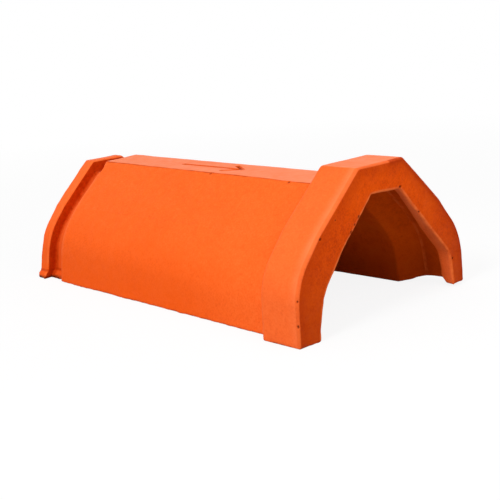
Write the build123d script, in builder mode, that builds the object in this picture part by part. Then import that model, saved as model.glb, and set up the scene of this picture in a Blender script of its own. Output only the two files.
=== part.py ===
"""Collared ridge tile in fired clay: one pressed piece, modelled as it lies on a level floor.

The ridge runs along X with the collar at +X, Z is up and the feet stand on Z = 0. Sizes in mm.
"""

import os
from math import radians, tan

from build123d import *

# Lengths along the ridge
length = 372  # over the whole tile, spigot rim to collar mouth
rim_width = 17.5  # band at the spigot end
neck_width = 20.5  # channel behind the rim, where the next collar's lip drops in
throat_length = 24  # slope inside, where the bore closes in toward the neck
collar_length = 38  # full-height band at the mouth
shoulder_length = 10  # slope behind the collar, down to the plain length
lip_length = 11  # band just inside the mouth
ramp_length = 18  # slope inside, from the socket down to the plain bore

# Outer section of the plain length
height = 106.5
half_width = 88.5  # at the floor
flat_half = 20  # half of the flat along the top
kink_half = 61  # where the upper slope turns into the steeper lower one
kink_height = 69
lower_slope = 50  # degrees down from level
plain_lean = 9  # degrees that the legs lean in
plain_bend = 60  # radius between the lower slope and the leg
collar_lean = 2  # the collar stands more upright
collar_bend = 40  # before collar_step is added

# Steps, measured square to the surface
wall = 14
collar_step = 16  # collar above the plain length
neck_depth = 13  # neck below the plain length
neck_wall = 8  # clay left under the neck
play = 4  # room all round between a rim or neck and the collar laid over it

# Rounded edges
toe_round = 7  # inner bottom corners of the lip
edge_round = 1.5  # both ends of the tile and of each band

mouth = length / 2
spigot = -length / 2
rim_back = spigot + rim_width
neck_back = rim_back + neck_width
throat_back = neck_back + throat_length
collar_back = mouth - collar_length
shoulder_foot = collar_back - shoulder_length
lip_back = mouth - lip_length
socket_back = lip_back - rim_width - play
ramp_foot = socket_back - ramp_length

below_floor = 40  # the sections run past the floor and are cut level at the end


def section(position, step=0, leg_lean=plain_lean, bend_radius=plain_bend):
    """Tile section at a place along the ridge, its outline moved outward by step."""
    fall = tan(radians(lower_slope))
    lean = tan(radians(leg_lean))
    bend_height = (kink_height - (half_width - kink_half) * fall) / (1 - lean * fall)
    with BuildSketch(Plane.YZ.offset(position)) as arch:
        with BuildLine():
            Polyline(
                (0, -below_floor),
                (half_width + lean * below_floor, -below_floor),
                (half_width - lean * bend_height, bend_height),
                (kink_half, kink_height),
                (flat_half, height),
                (0, height),
            )
            mirror(about=Plane.YZ)
        make_face()
        fillet(arch.vertices().group_by(Axis.Y)[1], bend_radius)
        if step:
            offset(amount=step, kind=Kind.INTERSECTION)
    return arch.sketch


with BuildPart() as ridge_tile:
    # Outside, from the spigot rim to the collar
    extrude(section(spigot), amount=rim_width)
    extrude(section(rim_back, -neck_depth), amount=neck_width)
    extrude(section(neck_back), amount=collar_back - neck_back)
    collar = section(collar_back, collar_step, collar_lean, collar_bend)
    loft([section(shoulder_foot), collar], ruled=True)
    extrude(collar, amount=collar_length)

    # Bore, narrow under the neck so the channel leaves enough clay
    throat_step = -neck_depth - neck_wall
    extrude(section(spigot, throat_step), amount=neck_back - spigot, mode=Mode.SUBTRACT)
    loft([section(neck_back, throat_step), section(throat_back, -wall)], ruled=True, mode=Mode.SUBTRACT)
    extrude(section(throat_back, -wall), amount=ramp_foot - throat_back, mode=Mode.SUBTRACT)

    # Inside the collar: ramp up to the socket that takes the next rim, then the lip
    # that drops into the next neck
    loft([section(ramp_foot, -wall), section(socket_back, play)], ruled=True, mode=Mode.SUBTRACT)
    extrude(section(socket_back, play), amount=lip_back - socket_back, mode=Mode.SUBTRACT)
    extrude(section(lip_back, play - neck_depth), amount=lip_length, mode=Mode.SUBTRACT)

    # Level feet
    split(bisect_by=Plane.XY, keep=Keep.TOP)

    # Rounded edges: the lip's toes, the mouth, the collar's back, then the rim and neck
    foot_edges = ridge_tile.edges().filter_by(Axis.X).group_by(Axis.Z)[0]
    fillet(foot_edges.filter_by_position(Axis.X, lip_back, mouth), toe_round)
    fillet(ridge_tile.faces().sort_by(Axis.X)[-1].edges(), edge_round)
    fillet(ridge_tile.edges().filter_by_position(Axis.X, collar_back - 0.1, collar_back + 0.1), edge_round)
    for band in range(3):
        band_end = ridge_tile.faces().filter_by(Plane.YZ).sort_by(Axis.X)[band]
        fillet(band_end.edges().filter_by(lambda edge: edge.center().Z > 0.1), edge_round)

ridge_tile.part.label = "ridge_tile"
os.makedirs("parts", exist_ok=True)
export_step(ridge_tile.part, "parts/ridge_tile.step")
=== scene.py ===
"""Looks of the collared clay ridge tile: its surface as one fine mesh, its clay, and the studio.

The surface is worked out in millimetres, and the finished mesh is scaled to metres. The material,
the studio and the camera are in metres.
"""

import math

import bmesh
import bpy
import numpy as np
from mathutils import Matrix, Vector
from mathutils.geometry import tessellate_polygon


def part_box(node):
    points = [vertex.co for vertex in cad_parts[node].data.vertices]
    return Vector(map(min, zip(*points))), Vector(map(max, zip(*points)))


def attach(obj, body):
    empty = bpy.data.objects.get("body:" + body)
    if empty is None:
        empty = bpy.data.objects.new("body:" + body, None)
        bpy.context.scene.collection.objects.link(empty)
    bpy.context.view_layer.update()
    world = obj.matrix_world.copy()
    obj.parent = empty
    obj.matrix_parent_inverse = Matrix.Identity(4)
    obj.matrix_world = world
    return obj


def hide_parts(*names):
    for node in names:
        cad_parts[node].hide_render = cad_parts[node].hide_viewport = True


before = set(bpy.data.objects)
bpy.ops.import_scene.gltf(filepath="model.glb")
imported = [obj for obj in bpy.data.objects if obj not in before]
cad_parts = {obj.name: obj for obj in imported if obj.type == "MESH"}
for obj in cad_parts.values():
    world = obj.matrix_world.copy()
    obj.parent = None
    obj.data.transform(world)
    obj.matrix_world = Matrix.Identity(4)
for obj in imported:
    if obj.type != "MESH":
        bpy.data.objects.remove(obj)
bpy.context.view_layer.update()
MM = 1000  # millimetres in a metre
LOW, HIGH = (np.array(corner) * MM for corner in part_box("ridge_tile"))

# Lengths along the ridge
MOUTH, SPIGOT = HIGH[0], LOW[0]
RIM_WIDTH, NECK_WIDTH, THROAT_LENGTH = 13.2, 22.3, 24.0
COLLAR_LENGTH, SHOULDER_LENGTH = 38.0, 10.0
LIP_LENGTH, SOCKET_LENGTH, RAMP_LENGTH = 11.0, 21.5, 18.0

# The plain section, and the steps from it to the other sections
TOP, HALF_WIDTH = 106.5, 88.5
FLAT_HALF, KINK_HALF, KINK_HEIGHT, LOWER_SLOPE = 20.6, 60.9, 69.0, 50.0
PLAIN_LEAN, PLAIN_BEND = 9.0, 60.0
WALL, FRONT_WALL, PLAY = 14.0, 11.5, 4.0
NECK_DEPTH, NECK_WALL = 11.5, 9.5

# Places along the ridge
RIM_BACK = SPIGOT + RIM_WIDTH
NECK_BACK = RIM_BACK + NECK_WIDTH
THROAT_BACK = NECK_BACK + THROAT_LENGTH
COLLAR_BACK = MOUTH - COLLAR_LENGTH
SHOULDER_FOOT = COLLAR_BACK - SHOULDER_LENGTH
LIP_BACK = MOUTH - LIP_LENGTH
SOCKET_BACK = LIP_BACK - SOCKET_LENGTH
RAMP_FOOT = SOCKET_BACK - RAMP_LENGTH

# Pieces that each straight run and each bend of half an arch is divided into, from the top down
RUNS = (10, 30, 9, 14)
ARCS = (4, 4, 18)
LEG = RUNS[3]
# Pieces of each bend of the profile along the ridge, and the furthest that a bend may reach
BEND_PIECES, BEND_REACH = 5, 6.0
# First and last column of the surface, at the near and the far foot
NEAR, FAR = 0, -1
# How far each ring has turned under from a foot's bottom edge, the last of them flat on the floor
FOOT_ANGLES = (0.4, 0.8, 1.2, math.pi / 2)
# Random numbers along each side of the noise's lattice, and where in it the tile's middle lies
LATTICE, NOISE_SHIFT = 32, 100


def noise(points, size, seed):
    """Smooth seeded noise from -1 to 1 at the points, with lumps about size across."""
    lattice = np.random.RandomState(seed).uniform(-1, 1, (LATTICE, LATTICE, LATTICE))
    place = points / size + NOISE_SHIFT
    cell = np.floor(place).astype(int)
    part = place - cell
    part = part * part * (3 - 2 * part)
    total = np.zeros(len(points))
    for corner in range(8):
        shift = np.array([corner >> 2 & 1, corner >> 1 & 1, corner & 1])
        weight = np.prod(np.where(shift, part, 1 - part), axis=1)
        x, y, z = ((cell + shift) % LATTICE).T
        total += weight * lattice[x, y, z]
    return total


def lumps(points, layers):
    """Layers of noise added up, each given as its height, its size and its seed."""
    return sum(height * noise(points, size, seed) for height, size, seed in layers)


def smooth(value, low, high):
    """0 below low, 1 above high, and a smooth rise between them."""
    part = np.clip((value - low) / (high - low), 0, 1)
    return part * part * (3 - 2 * part)


def meet(point_a, run_a, point_b, run_b):
    """Point where two lines cross, each given as a point and a direction."""
    along = np.linalg.solve(np.array([run_a, -run_b]).T, point_b - point_a)
    return point_a + along[0] * run_a


def unit(vector):
    return vector / np.linalg.norm(vector)


def rounded(start, corner, end, half_angle, pieces):
    """Points of the arc that rounds a corner, from start up to but without end."""
    weight = np.sin(half_angle)
    arc = []
    for t in np.linspace(0, 1, pieces, endpoint=False):
        a, b, c = (1 - t) ** 2, 2 * weight * t * (1 - t), t * t
        arc.append((a * start + b * corner + c * end) / (a + b + c))
    return arc


def arch(top, flat, kink, lower, foot, lean, bend, soft):
    """Points of the arch from the near foot to the far foot, the same number for every arch.

    flat is half of the level top, kink the place where the upper slope ends, lower the lower
    slope in degrees. The leg stands at foot and leans in by lean degrees. bend is the radius
    above the leg, and soft gives the rounding of the two corners above it.
    """
    kink, end = np.array(kink), np.array([foot, 0.0])
    lower, lean = math.radians(lower), math.radians(lean)
    slope_run = np.array([math.cos(lower), -math.sin(lower)])
    leg_run = np.array([math.sin(lean), -math.cos(lean)])
    points = [
        np.array([0.0, top]),
        np.array([flat, top]),
        kink,
        meet(kink, slope_run, end, leg_run),
        end,
    ]
    half, last = [], points[0]
    for k, radius in enumerate((*soft, bend), start=1):
        back, ahead = unit(points[k - 1] - points[k]), unit(points[k + 1] - points[k])
        half_angle = math.acos(np.clip(back @ ahead, -1, 1)) / 2
        reach = radius / math.tan(half_angle)
        start, end = points[k] + reach * back, points[k] + reach * ahead
        for t in np.linspace(0, 1, RUNS[k - 1], endpoint=False):
            half.append(last + (start - last) * t)
        half += rounded(start, points[k], end, half_angle, ARCS[k - 1])
        last = end
    for t in np.linspace(0, 1, LEG + 1):
        half.append(last + (points[-1] - last) * t)
    half = np.array(half)
    return np.concatenate([half[:0:-1] * (-1, 1), half])


def section(step=0.0, top=None, foot=None, soft=(3.0, 4.0)):
    """The tile's plain section, moved outward by step, with a top and foot of its own if given."""
    lower, lean = math.radians(LOWER_SLOPE), math.radians(PLAIN_LEAN)
    top = TOP + step if top is None else top
    foot = HALF_WIDTH + step / math.cos(lean) if foot is None else foot
    shoulder, kink = np.array([FLAT_HALF, TOP]), np.array([KINK_HALF, KINK_HEIGHT])
    upper_run = unit(kink - shoulder)
    lower_run = np.array([math.cos(lower), -math.sin(lower)])
    level = np.array([1.0, 0.0])
    shoulder = shoulder + step * np.array([-upper_run[1], upper_run[0]])
    kink_on_lower = kink + step * np.array([-lower_run[1], lower_run[0]])
    flat = meet(np.array([0.0, top]), level, shoulder, upper_run)[0]
    kink = meet(shoulder, upper_run, kink_on_lower, lower_run)
    return arch(top, flat, kink, LOWER_SLOPE, foot, PLAIN_LEAN, PLAIN_BEND + step, soft)


def joined(near, far):
    """An arch with its near half from one arch and its far half from another."""
    middle = len(near) // 2
    return np.concatenate([near[:middle], far[middle:]])


# Arches of the tile. Its plain length sinks a little and spreads toward the collar, inside and
# out, and the rim is drawn in.
rim = section(-1.0, top=107.0, foot=88.0)
neck = section(-NECK_DEPTH, foot=78.0)
plain_back = section(top=108.2, foot=88.2)
plain_front = section(top=105.8, foot=94.8)
socket = section(PLAY, foot=95.5)
bore_front = section(-FRONT_WALL, foot=78.6)
bore_back = section(-WALL)
throat = section(-NECK_DEPTH - NECK_WALL)

# The collar is a little fuller on the near side, and the core that shaped its mouth sat to the
# far side, so the near leg is the thicker
collar = joined(
    arch(122.5, 29.5, (77.2, 80.0), 49.2, 104.5, 1.0, 50.0, soft=(4.0, 6.0)),
    arch(122.5, 26.0, (73.0, 80.0), 49.2, 104.5, 2.2, 60.0, soft=(4.0, 6.0)),
)
lip = joined(
    arch(99.4, 14.5, (52.0, 62.0), 51.0, 80.8, 9.0, 45.0, soft=(3.0, 5.0)),
    arch(99.4, 21.0, (56.3, 60.3), 45.5, 89.2, 8.0, 26.0, soft=(3.0, 5.0)),
)
# The lip's top falls toward the far side. It reaches deepest at its legs, and its back edge comes
# forward up the slopes.
LIP_FALL, LEG_DEEPER, LIP_STEP = 1.6, 1.6, 5.0
lip[:, 1] -= LIP_FALL * smooth(lip[:, 0], -12, 22) * smooth(lip[:, 1], 60, 90)
lip_end = LIP_BACK - LEG_DEEPER + LIP_STEP * smooth(lip[:, 1], 45, 92)

# Corners of the profile along the ridge, once round: outside from the spigot to the mouth, then
# back inside. Each has its place, arch, rounding, and the pieces of the run that follows.
(
    RIM_END, RIM_STEP, NECK_START, NECK_END, PLAIN_START, SHOULDER, COLLAR_EDGE, MOUTH_OUTER,
    MOUTH_INNER, LIP_EDGE, SOCKET_START, SOCKET_END, RAMP_END, THROAT_START, THROAT_END, SPIGOT_INNER,
) = range(16)
PROFILE = {
    RIM_END: (SPIGOT, rim, 1.8, 9),
    RIM_STEP: (RIM_BACK, rim, 1.6, 8),
    NECK_START: (RIM_BACK, neck, 1.5, 11),
    NECK_END: (NECK_BACK, neck, 1.5, 8),
    PLAIN_START: (NECK_BACK, plain_back, 2.2, 116),
    SHOULDER: (SHOULDER_FOOT, plain_front, 6.0, 10),
    COLLAR_EDGE: (COLLAR_BACK, collar, 4.0, 24),
    MOUTH_OUTER: (MOUTH, collar, 2.0, 20),
    MOUTH_INNER: (MOUTH, lip, 1.6, 9),
    LIP_EDGE: (lip_end, lip, 1.0, 9),
    SOCKET_START: (lip_end, socket, 1.5, 12),
    SOCKET_END: (SOCKET_BACK, socket, 3.0, 14),
    RAMP_END: (RAMP_FOOT, bore_front, 4.0, 40),
    THROAT_START: (THROAT_BACK, bore_back, 8.0, 8),
    THROAT_END: (NECK_BACK, throat, 6.0, 10),
    SPIGOT_INNER: (SPIGOT, throat, 1.8, 10),
}
# Corners that are hollow and so have no arris, and arrises rubbed more or less than the others
HOLLOWS = (NECK_START, NECK_END, SHOULDER, SOCKET_START, RAMP_END, THROAT_END)
RUBBED = {PLAIN_START: 1.3, COLLAR_EDGE: 0.15, MOUTH_OUTER: 0.4, MOUTH_INNER: 1.8}


def profile_loops():
    """Rows of the tile's surface, the corner that each belongs to, and how much of an arris it is.

    A row of the run after a corner belongs to that corner's number plus a half.
    """
    count = len(PROFILE)
    corner = [
        np.column_stack([np.broadcast_to(place, len(section_arch)), section_arch])
        for place, section_arch, _, _ in PROFILE.values()
    ]
    starts, ends, bends = [], [], []
    for k, (_, _, rounding, _) in PROFILE.items():
        back = corner[k - 1] - corner[k]
        ahead = corner[(k + 1) % count] - corner[k]
        back /= np.linalg.norm(back, axis=1)[:, None]
        ahead /= np.linalg.norm(ahead, axis=1)[:, None]
        half_angle = np.arccos(np.clip((back * ahead).sum(1), -1, 1)) / 2
        reach = np.minimum(rounding / np.tan(half_angle), BEND_REACH)[:, None]
        start, end = corner[k] + reach * back, corner[k] + reach * ahead
        starts.append(start)
        ends.append(end)
        bends.append(rounded(start, corner[k], end, half_angle[:, None], BEND_PIECES))
    loops, owner, arris = [], [], []
    for k, (_, _, _, pieces) in PROFILE.items():
        loops += bends[k]
        owner += [k] * BEND_PIECES
        arris += [0.0 if k in HOLLOWS else RUBBED.get(k, 1.0)] * BEND_PIECES
        for t in np.linspace(0, 1, pieces, endpoint=False):
            loops.append(ends[k] + (starts[(k + 1) % count] - ends[k]) * t)
            owner.append(k + 0.5)
            arris.append(0.0)
    return np.array(loops), np.array(owner), np.array(arris)


def shorten_leg(loops, side, reach):
    """Ends one side's leg at the height reach, where its bottom edge begins to turn under."""
    order = range(LEG, -1, -1) if side == NEAR else range(-LEG - 1, 0)
    top, foot = loops[:, order[0]].copy(), loops[:, order[-1]].copy()
    share = 1 - reach / top[:, 2]
    for j, column in enumerate(order):
        loops[:, column] = top + (foot - top) * (share * j / LEG)[:, None]


def foot_rings(edge, side, reach):
    """Rings that turn one foot's bottom edge under, the last of them on the floor."""
    ahead = np.roll(edge, -1, axis=0) - np.roll(edge, 1, axis=0)
    inward = np.column_stack([ahead[:, 1], -ahead[:, 0]]) * (-1 if side == NEAR else 1)
    inward /= np.maximum(np.linalg.norm(inward, axis=1), 1e-9)[:, None]
    rings = []
    for angle in FOOT_ANGLES:
        ring = edge.copy()
        ring[:, :2] += inward * (reach * (1 - math.cos(angle)))[:, None]
        ring[:, 2] = reach * (1 - math.sin(angle))
        rings.append(ring)
    return rings


# Rounding of the bottom edges: the near foot's is wider inside, the far foot's at the lip's toe
NEAR_ROUND, NEAR_ROUND_INSIDE = 1.1, 1.8
FAR_ROUND, TOE_ROUND, TOE_START = 1.0, 1.6, 173
# One rounding runs softly into the next along the foot, over this many rows either way
ROUND_ROWS, ROUND_SPREAD = 9, 3.0

# The far foot of the collar is warped clear of the floor. How far is given at places along the
# ridge, for the foot's inner edge, where it is most behind the lip's toe, and for its outer edge.
INNER_LIFT = [
    (134, 0), (143, 1.4), (150, 3.6), (157, 4.6), (171, 5.2), (174, 7.0), (176, 4.4), (178, 2.4), (186, 1.8)
]
OUTER_LIFT = [(134, 0), (150, 2.4), (160, 3.2), (186, 3.0)]
WARP_HEIGHT = 26  # the warp dies out this far up the leg

loops, owner, arris = profile_loops()
rows, columns = loops.shape[:2]

on_inside = (owner >= MOUTH_INNER) & (owner < SPIGOT_INNER + 0.5)
on_toe = on_inside & (loops[:, NEAR, 0] > TOE_START)
reaches = {
    NEAR: np.where(on_inside, NEAR_ROUND_INSIDE, NEAR_ROUND),
    FAR: np.where(on_toe, TOE_ROUND, FAR_ROUND),
}
spread = np.exp(-0.5 * (np.arange(-ROUND_ROWS, ROUND_ROWS + 1) / ROUND_SPREAD) ** 2)
for side, reach in reaches.items():
    wide = np.concatenate([reach[-ROUND_ROWS:], reach, reach[:ROUND_ROWS]])
    reaches[side] = np.convolve(wide, spread / spread.sum(), "valid")
    shorten_leg(loops, side, reaches[side])

inner_lift, outer_lift = (
    np.interp(loops[:, FAR, 0], *np.transpose(lift)) for lift in (INNER_LIFT, OUTER_LIFT)
)
across = np.select([owner == MOUTH_OUTER + 0.5, owner >= MOUTH_INNER], [0.5, 1], 0)
lift = outer_lift + (inner_lift - outer_lift) * across

# The surface as one closed mesh: the rows joined in a ring, then each foot turned under and filled
vertices, faces = [loops.reshape(-1, 3)], []
for i in range(rows):
    j = (i + 1) % rows
    for k in range(columns - 1):
        faces.append((i * columns + k, j * columns + k, j * columns + k + 1, i * columns + k + 1))
start = rows * columns
for side in (NEAR, FAR):
    previous = [i * columns + side % columns for i in range(rows)]
    for ring in foot_rings(loops[:, side], side, reaches[side]):
        current = list(range(start, start + rows))
        vertices.append(ring)
        start += rows
        for i in range(rows):
            j = (i + 1) % rows
            quad = (previous[i], current[i], current[j], previous[j])
            faces.append(quad if side == NEAR else quad[::-1])
        previous = current
    for triangle in tessellate_polygon([[Vector((*place[:2], 0)) for place in ring]]):
        faces.append(tuple(previous[i] for i in triangle))
vertices = np.concatenate(vertices)
ring_rows = np.tile(np.arange(rows), 2 * len(FOOT_ANGLES))
row_of = np.concatenate([np.repeat(np.arange(rows), columns), ring_rows])
on_far_foot = (vertices[:, 1] > 0) * (1 - smooth(vertices[:, 2], 0, WARP_HEIGHT))
vertices[:, 2] += lift[row_of] * on_far_foot

# Share of the bare skin, partly painted shade: on the mouth's end face most, and on the back of the rim
FACE_SHARE = {
    RIM_STEP + 0.5: 0.8,
    MOUTH_OUTER: 0.5,
    MOUTH_OUTER + 0.5: 1.0,
    MOUTH_INNER: 0.6,
    MOUTH_INNER + 0.5: 0.25,
}
# The arris round the far side of the mouth has painted shade, dark and not rubbed: its width as a share of
# the end face, where the far side starts, and how dark the painted shade is
DARK_WIDTH, DARK_START, DARK_SHARE = 0.18, 8, 0.9

# What the clay's colours need to know of each place. Across the mouth's end face, ring goes from
# 0 at the outer arris to 1 at the inner one.
face_share = np.array([FACE_SHARE.get(corner, 0.0) for corner in owner])
inside_share = np.select([owner == LIP_EDGE, owner > LIP_EDGE], [0.7, 1.0], 0.0)
near_rim = 1 - smooth(loops[:, columns // 2, 0], RIM_BACK + 2, RIM_BACK + 5)
# Painted shade in the hollow behind the rim: its back face, the corner and the neck's floor
crease = np.select(
    [(owner == RIM_STEP + 0.5) | (owner == NECK_START), owner == NECK_START + 0.5, owner == NECK_END],
    [1.0, 0.25 + 0.75 * near_rim, 0.25],
    0.0,
)
on_end_face = owner == MOUTH_OUTER + 0.5
ring_share = np.ones(rows)
ring_share[on_end_face] = np.linspace(0, 1, on_end_face.sum())
arris_share = np.concatenate([np.repeat(arris, columns), np.ones(len(ring_rows))])
# Painted shade along the far arris of the mouth
dark = np.where(owner == MOUTH_OUTER, 1.0, np.clip(1 - ring_share / DARK_WIDTH, 0, 1))[row_of]
dark *= vertices[:, 1] > DARK_START
surface_values = {
    "arris": np.where(dark > 0, 0.0, arris_share),
    "face": face_share[row_of],
    "inside": inside_share[row_of],
    "crease": np.maximum(crease[row_of], DARK_SHARE * dark),
    "core": (owner >= MOUTH_INNER)[row_of] * 1.0,
    "ring": ring_share[row_of],
}

# Laying mark: an arrow cut along the top, pointing to the collar
STROKES = [((-52, 0), (28, 0)), ((11, -10), (28, 0)), ((11, 10), (28, 0))]
STROKE_DEPTH, STROKE_HALF = 1.6, 1.9
BURR_HEIGHT, BURR_WIDTH = 0.14, 0.5
START_DEPTH, START_HALF = 0.9, 2.5  # the pit where the tool went in
# The top's marks lie above this height. The mesh is finer in a band along the shaft and the head.
TOP_LEVEL = 103
MARKS_START, HEAD_START, MARKS_END = -56, 5, 31
SHAFT_BAND, HEAD_BAND = 4.5, 13.5

# Pits and chips: place, radius, depth
PITS = [
    ((186, -75.6, 77.1), 1.5, 1.0),
    ((185, -104, 17.4), 1.8, 1.1),
    ((185, -103, 36.4), 1.3, 0.8),
    ((186, 20.8, 99.2), 1.9, 1.4),
    ((186, 44.2, 74.5), 1.6, 1.2),
    ((186, 88.8, 25.8), 1.3, 0.9),
    ((186, -31.0, 85.4), 1.5, 1.0),
    ((186, -36.5, 80.2), 1.2, 0.8),
    ((186, -40.6, 75.2), 1.8, 1.2),
    ((186, -58.0, 88.0), 0.9, 0.5),
    ((184, 55.0, 97.0), 1.2, 0.6),
    ((9.0, -21.0, 106.4), 1.3, 0.8),
    ((105.0, -22.0, 105.4), 1.5, 1.0),
    ((RIM_BACK, 20.5, 106.5), 2.0, 0.8),
    ((-185.6, -86.8, 23), 1.7, 1.1),
    ((-185.6, -85.0, 39), 1.4, 0.9),
]
CRUMB, CRUMB_HEIGHT = (104.5, 20.6, 106.6), 2.4

# Departures of the whole form from its sections, and the place broken off its back arris
RIM_DRAW = 1.7
BEAD_WIDTH, SPILL_WIDTH = 2.6, 3.2
TOP_RISE = 0.9
BREAK_SIDE, BREAK_HEIGHT, BREAK_DEPTH = -26, 101, 1.9

# Layers of noise: height, size and seed. Wear takes a little off every arris too.
CLAY_WAVES = [(0.34, 55, 1), (0.16, 17, 2), (0.07, 6, 3), (0.05, 2.6, 4)]
ARRIS_WEAR, ARRIS_LOSS = [(0.22, 9, 5), (0.16, 4, 6)], 0.1
RAGGED_FEET = [(0.3, 7, 7), (0.2, 3, 8)]


def warped(points):
    """How the whole form departs from its sections at the points, and its broken back arris."""
    x, y, z = points.T
    near = y < 0
    move = np.zeros_like(points)
    # The rim's near leg is drawn toward the collar
    on_rim = 1 - smooth(x, RIM_BACK - 3, RIM_BACK + 3)
    move[:, 0] += RIM_DRAW * on_rim * smooth(z, 20, 34) * (1 - smooth(z, 55, 85)) * near
    # A bead of clay along the foot of the rim and neck spills furthest under the neck
    bead = (1 - smooth(x, NECK_BACK - 2.5, NECK_BACK - 0.5)) * (1 - smooth(z, 5.2, 7.4))
    bead *= smooth(np.abs(y), 68, 77) * (1 + 0.25 * noise(points, 5, 12))
    spill = SPILL_WIDTH * (1 - smooth(z, 1.0, 4.0)) * smooth(x, RIM_BACK - 1.5, RIM_BACK + 0.5)
    move[:, 1] += np.sign(y) * (BEAD_WIDTH + spill) * bead
    # The plain length's top rises to the far side
    plain = (x > NECK_BACK - 1) & (x < COLLAR_BACK - 2)
    move[:, 2] += TOP_RISE * smooth(z, 100, 104) * smooth(y, -14, 20) * plain
    # A place near the top of the plain length's back arris is broken off
    spot = np.exp(-(((y - BREAK_SIDE) / 5.5) ** 2) - ((z - BREAK_HEIGHT) / 7) ** 2)
    at_arris = (1 - smooth(np.abs(x - NECK_BACK), 2, 7)) * near
    move[:, 0] += BREAK_DEPTH * spot * at_arris * (1 + 0.5 * noise(points, 3, 9))
    return move


def to_stroke(points, a, b):
    """Distance in plan from the points to the stroke from a to b."""
    a, b = np.array(a), np.array(b)
    run = b - a
    share = np.clip((points[:, :2] - a) @ run / (run @ run), 0, 1)
    return np.linalg.norm(points[:, :2] - a - share[:, None] * run, axis=1)


def clay_relief(points, worn):
    """How proud the surface stands at the points, and their share in a pit and in a cut stroke."""
    x, _, z = points.T
    proud = lumps(points, CLAY_WAVES)
    proud += worn * (lumps(points, ARRIS_WEAR) - ARRIS_LOSS)
    proud += (1 - smooth(z, 3, 10)) * (z < 4) * lumps(points, RAGGED_FEET)
    # A crumb left on the top's far arris, given the pits' painted shade
    crumb = np.linalg.norm(points - np.array(CRUMB), axis=1)
    proud += CRUMB_HEIGHT * (1 - smooth(crumb, 0.5, 3.2))
    hole = 0.5 * (1 - smooth(crumb, 0.5, 3.0))
    for place, radius, depth in PITS:
        away = np.linalg.norm(points - np.array(place), axis=1)
        away *= 1 + 0.25 * noise(points, 1.4, 10)
        share = 1 - smooth(away, radius * 0.35, radius)
        proud -= depth * share
        hole = np.maximum(hole, share)
    # Each stroke has a low burr along it, and a pit where the tool went in
    groove = np.zeros(len(points))
    on_top = (z > TOP_LEVEL) & (x < 100)
    for a, b in STROKES:
        away = to_stroke(points, a, b) * (1 + 0.12 * noise(points, 5, 11))
        share = (1 - smooth(away, 0.8, STROKE_HALF)) * on_top
        groove = np.maximum(groove, share)
        burr = np.exp(-(((away - STROKE_HALF - BURR_WIDTH) / BURR_WIDTH) ** 2)) * on_top
        proud += BURR_HEIGHT * burr * (1 - share)
        from_start = np.linalg.norm(points[:, :2] - np.array(a), axis=1)
        pit = (1 - smooth(from_start, 1.0, START_HALF)) * on_top
        proud -= START_DEPTH * pit
        hole = np.maximum(hole, 0.8 * pit)
    return proud - STROKE_DEPTH * groove, hole, groove


def near_marks(face):
    """Whether the face is on the top, close to the arrow's shaft or head."""
    x, y, z = face.calc_center_median()
    band = SHAFT_BAND if x < HEAD_START else HEAD_BAND
    return z > TOP_LEVEL and MARKS_START < x < MARKS_END and abs(y) < band


def near_pit(face):
    """Whether the face is one of the surface's squares and close to a pit."""
    centre = face.calc_center_median()
    return len(face.verts) == 4 and any(
        (centre - Vector(place)).length < radius + 2 for place, radius, _ in PITS
    )


def refine(bm, chosen, cuts):
    """Divides the chosen faces more finely."""
    edges = {edge for face in chosen for edge in face.edges}
    bmesh.ops.subdivide_edges(bm, edges=list(edges), cuts=cuts, use_grid_fill=True)


mesh = bpy.data.meshes.new("clay_tile")
mesh.from_pydata(vertices, [], faces)
for name, values in surface_values.items():
    mesh.attributes.new(name, "FLOAT", "POINT").data.foreach_set("value", values)
bm = bmesh.new()
bm.from_mesh(mesh)
bmesh.ops.recalc_face_normals(bm, faces=bm.faces)

# The soles are filled with triangles between near points, so that they follow the bottom edges
sole = [face for face in bm.faces if len(face.verts) == 3]
inner_edges = [
    edge
    for edge in {edge for face in sole for edge in face.edges}
    if all(len(face.verts) == 3 for face in edge.link_faces)
]
bmesh.ops.beautify_fill(bm, faces=sole, edges=inner_edges)

refine(bm, [face for face in bm.faces if near_marks(face)], cuts=3)
refine(bm, [face for face in bm.faces if near_pit(face)], cuts=2)
bm.normal_update()
points = np.array([vertex.co for vertex in bm.verts])
normals = np.array([vertex.normal for vertex in bm.verts])
arris_layer = bm.verts.layers.float["arris"]
worn = np.array([vertex[arris_layer] for vertex in bm.verts])

proud, hole, groove = clay_relief(points, worn)
on_floor = points[:, 2] < 0.01
points = points + warped(points) + normals * proud[:, None]
points[on_floor, 2] = 0.0
points = np.clip(points, LOW, HIGH) / MM
for vertex, place in zip(bm.verts, points):
    vertex.co = place
for name, values in {"hole": hole, "groove": groove}.items():
    layer = bm.verts.layers.float.new(name)
    for vertex, value in zip(bm.verts, values):
        vertex[layer] = value
bm.to_mesh(mesh)
bm.free()
mesh.shade_smooth()

tile = bpy.data.objects.new("clay_tile", mesh)
bpy.context.scene.collection.objects.link(tile)
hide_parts("ridge_tile")
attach(tile, "root")


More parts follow.
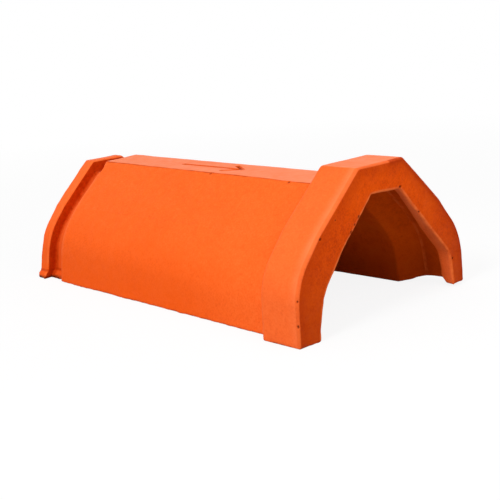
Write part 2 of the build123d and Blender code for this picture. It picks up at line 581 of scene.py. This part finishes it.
class Shading:
    """The node tree of a material or the world, with a short call for each kind of node."""

    def __init__(self, holder):
        holder.use_nodes = True
        self.nodes, self.links = holder.node_tree.nodes, holder.node_tree.links

    def give(self, socket, value):
        """Sets a socket to a number or a colour, or links another node's output to it."""
        if isinstance(value, bpy.types.NodeSocket):
            self.links.new(value, socket)
        else:
            socket.default_value = (*value, 1) if isinstance(value, tuple) else value

    def spread(self, source, low, high, to_low=0.0, to_high=1.0, kind="LINEAR"):
        """to_low where the source is low, to_high where it is high, and a straight rise between."""
        node = self.nodes.new("ShaderNodeMapRange")
        node.interpolation_type = kind
        values = {"From Min": low, "From Max": high, "To Min": to_low, "To Max": to_high}
        for name, value in values.items():
            node.inputs[name].default_value = value
        self.links.new(source, node.inputs["Value"])
        return node.outputs["Result"]

    def ramp(self, source, low, high, to_low=0.0, to_high=1.0):
        """The same with a soft start and end. low may be above high, for a fall."""
        return self.spread(source, low, high, to_low, to_high, "SMOOTHSTEP")

    def maths(self, kind, *values):
        node = self.nodes.new("ShaderNodeMath")
        node.operation = kind
        for socket, value in zip(node.inputs, values):
            self.give(socket, value)
        return node.outputs[0]

    def product(self, first, *others):
        for other in others:
            first = self.maths("MULTIPLY", first, other)
        return first

    def blend(self, share, base, colour):
        """base with colour laid over it by share. Both may be a colour or an output."""
        node = self.nodes.new("ShaderNodeMix")
        node.data_type = "RGBA"
        for name, value in {"Factor": share, "A": base, "B": colour}.items():
            self.give(node.inputs[name], value)
        return node.outputs["Result"]

    def cloud(self, source, scale, detail, rough=0.5):
        node = self.nodes.new("ShaderNodeTexNoise")
        for name, value in {"Scale": scale, "Detail": detail, "Roughness": rough}.items():
            node.inputs[name].default_value = value
        self.links.new(source, node.inputs["Vector"])
        return node.outputs["Fac"]

    def attribute(self, name):
        node = self.nodes.new("ShaderNodeAttribute")
        node.attribute_name = name
        return node.outputs["Fac"]

    def white_rays(self):
        """1 for rays that should find plain white around the tile, 0 for the light it receives."""
        seen = self.nodes.new("ShaderNodeLightPath")
        result = seen.outputs["Is Camera Ray"]
        for name in ("Is Glossy Ray", "Is Transmission Ray"):
            result = self.maths("MAXIMUM", result, seen.outputs[name])
        return result


# Skins of fired clay in linear colours, from the darkest to the palest, and the weights of the
# mottling that chooses among them, from its patches down to its grains
SKINS = {
    "outer": ((0.3, 0.22, 0.35, 1.0), ((0.76, 0.080, 0.010), (0.95, 0.131, 0.017), (1.0, 0.178, 0.034))),
    # The bare skin is deeper and darker than the outer one, partly as painted shade
    "bare_and_shaded": ((0.3, 1.1, 0.65, 1.2), ((0.64, 0.050, 0.001), (0.88, 0.086, 0.001), (1.0, 0.120, 0.003))),
    "deep": ((0.5, 0.9, 0.7, 0.6), ((0.66, 0.066, 0.001), (0.93, 0.120, 0.003), (1.0, 0.160, 0.006))),
}
DUST_AND_SHEEN = (1.0, 0.275, 0.125)
COLLAR_SKIN = (1.0, 0.185, 0.055)
RUBBED_COLLAR = (1.0, 0.24, 0.085)
RUBBED_BACK = (1.0, 0.19, 0.06)
RUBBED_ARRIS = (1.0, 0.2, 0.045)
TOP_ARRIS = (0.5, 0.045, 0.002)
RIM_SKIN = (0.94, 0.115, 0.001)
SIDE_DIRT_AND_SHADE = (0.84, 0.084, 0.001)
FACE_DIRT_AND_SHADE = (0.38, 0.036, 0.004)
BORE_SHADE = (0.27, 0.028, 0.002)
SOCKET_SHADE = (0.42, 0.034, 0.001)
MOUTH_EDGE_SHADE = (0.50, 0.034, 0.001)
CREASE_SHADE = (0.5, 0.036, 0.001)
STROKE_SHADE = (0.30, 0.022, 0.002)
PIT_SHADE = (0.12, 0.012, 0.003)
SOLE_SHADE = (0.2, 0.015, 0.001)
BEAD_SHADE_LINE = (0.45, 0.03, 0.001)
NECK_SOLE_SHADE = (0.05, 0.008, 0.002)

# Stretches over which a colour comes in or dies out, along the ridge
COLLAR_GLOW, MOUTH_RUB, TO_COLLAR = (0.137, 0.150), (0.174, 0.185), (0.132, 0.128)
RIM_TINT, BACK_BAND, NECK_FOOT = (-0.1690, -0.1735), (-0.1445, -0.1490), (-0.1500, -0.1515)
SIDE_SHADE_FADE, SOCKET_DARK = (0.02, 0.14), (0.095, 0.125)
# The same, up from the floor
SIDE_SHADE_HEIGHT, FACE_SHADE_HEIGHT, BORE_SHADE_HEIGHT = (0.0, 0.085), (0.0, 0.1), (0.008, 0.05)
RUB_HEIGHT, SOLE_HEIGHT, NECK_SOLE_HEIGHT = (0.025, 0.075), (0.0018, 0.0004), (0.0040, 0.0010)
LINE_BOTTOM, LINE_TOP = (0.0060, 0.0072), (0.0095, 0.0080)

clay =bpy.data.materials.new("clay")
tree = Shading(clay)
attribute, blend, product, ramp = tree.attribute, tree.blend, tree.product, tree.ramp
place = tree.nodes.new("ShaderNodeTexCoord").outputs["Object"]
split = tree.nodes.new("ShaderNodeSeparateXYZ")
tree.links.new(place, split.inputs[0])
x_place, z_place = split.outputs["X"], split.outputs["Z"]
facing = tree.nodes.new("ShaderNodeSeparateXYZ")
tree.links.new(tree.nodes.new("ShaderNodeNewGeometry").outputs["Normal"], facing.inputs[0])
upright = facing.outputs["Z"]

# Mottling in four sizes, from patches of a hand's width down to single grains
CLOUDS = [(9, 2), (45, 3), (210, 3), (620, 2)]
clouds = [tree.cloud(place, scale, detail, 0.55) for scale, detail in CLOUDS]
_, mottle, specks, _ = clouds


def skin(name):
    """Colour of one kind of surface. Its tone is 0.5 on average, moved by each mottling."""
    weights, colours = SKINS[name]
    tone = None
    for source, weight in zip(clouds, weights):
        term = tree.maths("MULTIPLY_ADD", source, weight, -0.5 * weight)
        tone = term if tone is None else tree.maths("ADD", tone, term)
    node = tree.nodes.new("ShaderNodeValToRGB")
    stripes = node.color_ramp.elements
    stripes.new(0.5)
    for stripe, at, colour in zip(stripes, (0, 0.5, 1), colours):
        stripe.position, stripe.color = at, (*colour, 1)
    tree.links.new(tree.maths("ADD", tone, 0.5), node.inputs["Fac"])
    return node.outputs["Color"]


outer, bare_and_shaded, deep = skin("outer"), skin("bare_and_shaded"), skin("deep")

# Level places are paler: dust, and a painted sheen for the grazing reflection on the top
dust_and_sheen = product(ramp(upright, 0.86, 0.985), ramp(mottle, 0.2, 0.75, 0.75, 1.0), 0.85)
outer = blend(dust_and_sheen, outer, DUST_AND_SHEEN)
# The collar's skin is a little paler than the plain length's, most toward the mouth's arris
outer = blend(ramp(x_place, *COLLAR_GLOW, 0.0, 0.22), outer, COLLAR_SKIN)
rub = product(ramp(x_place, *MOUTH_RUB), ramp(mottle, 0.25, 0.7, 0.5, 1.0))
rub = product(rub, ramp(z_place, *RUB_HEIGHT, 0.3, 0.75))
colour = blend(rub, outer, RUBBED_COLLAR)
# The arrises along the top are darker as far as the collar, and the rim is redder
turn = product(ramp(upright, 0.755, 0.79), ramp(upright, 0.985, 0.94))
patchy = product(ramp(x_place, *TO_COLLAR), ramp(mottle, 0.3, 0.65, 0.3, 1.0))
colour = blend(product(turn, patchy, 0.8), colour, TOP_ARRIS)
colour = blend(ramp(x_place, *RIM_TINT, 0.0, 0.6), colour, RIM_SKIN)
# The plain length's back arris, the neck and the rim are paler
colour = blend(ramp(x_place, *BACK_BAND, 0.0, 0.35), colour, RUBBED_BACK)
# The sides' feet, the mouth's end face and the bore are darker toward the ground: on the sides and the end
# face dirt and painted shade, in the bore painted shade
side_dirt_and_shade = product(ramp(z_place, *SIDE_SHADE_HEIGHT, 0.6, 0.0), ramp(x_place, *SIDE_SHADE_FADE, 1.0, 0.0))
colour = blend(side_dirt_and_shade, colour, SIDE_DIRT_AND_SHADE)
bare_and_shaded = blend(ramp(z_place, *FACE_SHADE_HEIGHT, 0.5, 0.0), bare_and_shaded, FACE_DIRT_AND_SHADE)
deep = blend(ramp(z_place, *BORE_SHADE_HEIGHT, 0.6, 0.0), deep, BORE_SHADE)
# Painted shade darkens the end face along its outer arris, and the inside in the socket
bare_and_shaded = blend(ramp(attribute("ring"), 0.0, 0.7, 0.4, 0.0), bare_and_shaded, MOUTH_EDGE_SHADE)
deep = blend(ramp(x_place, *SOCKET_DARK, 0.0, 0.3), deep, SOCKET_SHADE)
colour = blend(attribute("face"), colour, bare_and_shaded)
colour = blend(attribute("inside"), colour, deep)
# Arrises are rubbed paler
worn = product(attribute("arris"), ramp(tree.cloud(place, 160, 3), 0.3, 0.62), 0.42)
colour = blend(worn, colour, RUBBED_ARRIS)
# Painted shade lies in the crease behind the rim, in cut strokes and pits, and under the ragged feet
colour = blend(product(attribute("crease"), ramp(specks, 0.35, 0.65, 0.75, 1.0)), colour, CREASE_SHADE)
colour = blend(product(attribute("groove"), 0.95), colour, STROKE_SHADE)
colour = blend(product(attribute("hole"), 0.9), colour, PIT_SHADE)
ragged = ramp(tree.cloud(place, 260, 3), 0.44, 0.6)
colour = blend(product(ramp(z_place, *SOLE_HEIGHT), ragged, 0.45), colour, SOLE_SHADE)
# A painted shade line runs above the bead at the foot of the rim and neck, and their sole is darkest with
# painted shade
at_neck = ramp(x_place, *NECK_FOOT)
line = product(ramp(z_place, *LINE_BOTTOM), ramp(z_place, *LINE_TOP), at_neck)
colour = blend(product(line, ramp(mottle, 0.3, 0.6, 0.35, 0.8)), colour, BEAD_SHADE_LINE)
cut = product(ramp(z_place, *NECK_SOLE_HEIGHT), at_neck, ramp(ragged, 0.0, 1.0, 0.55, 1.0))
colour = blend(cut, colour, NECK_SOLE_SHADE)

# Outside the clay has a faint, warm lustre. Inside, where nothing rubs it, it is dull.
roughness = ramp(tree.cloud(place, 140, 4), 0.3, 0.7, 0.5, 0.68)
roughness = tree.maths("ADD", roughness, product(attribute("core"), 0.3))

# Sandy skin: fine grain over soft lumps, with a few pores
pores = tree.nodes.new("ShaderNodeTexVoronoi")
pores.inputs["Scale"].default_value = 150
tree.links.new(place, pores.inputs["Vector"])
pore = ramp(pores.outputs["Distance"], 0.05, 0.16)
grain = product(tree.cloud(place, 900, 3, 0.6), 0.22)
height = tree.maths("ADD", grain, product(tree.cloud(place, 260, 3), 0.4))
height = tree.maths("ADD", height, product(pore, 0.12))
bump = tree.nodes.new("ShaderNodeBump")
bump.inputs["Strength"].default_value = 0.55
bump.inputs["Distance"].default_value = 0.0006
tree.links.new(height, bump.inputs["Height"])

shader = tree.nodes["Principled BSDF"]
shader.inputs["Specular IOR Level"].default_value = 0.09
shader.inputs["Specular Tint"].default_value = (1, 0.4, 0.12, 1)
tree.links.new(colour, shader.inputs["Base Color"])
tree.links.new(roughness, shader.inputs["Roughness"])
tree.links.new(bump.outputs["Normal"], shader.inputs["Normal"])
tile.data.materials.append(clay)

# Studio: how bright the paper and the world are, for the light they give and where they are seen
PAPER_GIVES, PAPER_SEEN = 0.45, 0.95
WORLD_GIVES, WORLD_SEEN = 0.45, 1.0
FLOOR_HALF = 8
# The paper keeps a soft shadow near the tile, and far out it runs into the white surroundings
SHADOW_REACH, WHITE_REACH, SHADOW_WHITE = 0.45, 1.3, 0.88

floor_mesh = bpy.data.meshes.new("floor")
floor_corners = [(x * FLOOR_HALF, y * FLOOR_HALF, 0) for x, y in ((-1, -1), (1, -1), (1, 1), (-1, 1))]
floor_mesh.from_pydata(floor_corners, [], [(0, 1, 2, 3)])
floor = bpy.data.objects.new("floor", floor_mesh)
bpy.context.scene.collection.objects.link(floor)

paper = bpy.data.materials.new("paper")
tree = Shading(paper)
surface = tree.nodes["Principled BSDF"]
surface.inputs["Roughness"].default_value = 0.9
surface.inputs["Specular IOR Level"].default_value = 0.0
white = tree.white_rays()
tree.links.new(tree.spread(white, 0, 1, PAPER_GIVES, PAPER_SEEN), surface.inputs["Base Color"])
away = tree.nodes.new("ShaderNodeVectorMath")
away.operation = "LENGTH"
tree.links.new(tree.nodes.new("ShaderNodeTexCoord").outputs["Object"], away.inputs[0])
whiteness = tree.spread(away.outputs["Value"], SHADOW_REACH, WHITE_REACH, SHADOW_WHITE, 1.0)
glow = tree.nodes.new("ShaderNodeEmission")
mix = tree.nodes.new("ShaderNodeMixShader")
tree.links.new(tree.product(white, whiteness), mix.inputs[0])
tree.links.new(surface.outputs[0], mix.inputs[1])
tree.links.new(glow.outputs[0], mix.inputs[2])
tree.links.new(mix.outputs[0], tree.nodes["Material Output"].inputs["Surface"])
floor_mesh.materials.append(paper)

world = bpy.data.worlds.new("studio")
bpy.context.scene.world = world
tree = Shading(world)
background = tree.nodes["Background"]
background.inputs["Color"].default_value = (1, 1, 1, 1)
strength = tree.spread(tree.white_rays(), 0, 1, WORLD_GIVES, WORLD_SEEN)
tree.links.new(strength, background.inputs["Strength"])


def lamp(name, place, target, size, power):
    """A square soft box that faces the target."""
    light = bpy.data.lights.new(name, "AREA")
    light.size = size
    light.energy = power
    holder = bpy.data.objects.new(name, light)
    bpy.context.scene.collection.objects.link(holder)
    holder.location = place
    holder.rotation_euler = (Vector(target) - Vector(place)).to_track_quat("-Z", "Y").to_euler()


lamp("key", place=(0.4, -2.1, 1.6), target=(0, 0, 0.05), size=0.7, power=38)
lamp("top", place=(0.1, 0.2, 2.4), target=(0, 0, 0.05), size=1.6, power=7)
lamp("front", place=(0.75, -0.15, 0.62), target=(0.186, 0, 0.08), size=0.5, power=1.85)

# Camera: the photographer's place, in metres, and angles in degrees
CAMERA_PLACE = (0.67211, -0.60313, 0.24354)
CAMERA_TURN, CAMERA_DOWN, CAMERA_ROLL = 46.814, 13.383, -4.374

camera_data = bpy.data.cameras.new("camera")
camera_data.sensor_width = 36
camera_data.lens = 72.323
camera = bpy.data.objects.new("camera", camera_data)
bpy.context.scene.collection.objects.link(camera)
turn = Matrix.Rotation(math.radians(CAMERA_TURN), 4, "Z")
tilt = Matrix.Rotation(math.radians(90 - CAMERA_DOWN), 4, "X")
roll = Matrix.Rotation(math.radians(CAMERA_ROLL), 4, "Z")
camera.matrix_world = Matrix.Translation(CAMERA_PLACE) @ turn @ tilt @ roll
bpy.context.scene.camera = camera

bpy.context.scene.view_settings.view_transform = "Standard"
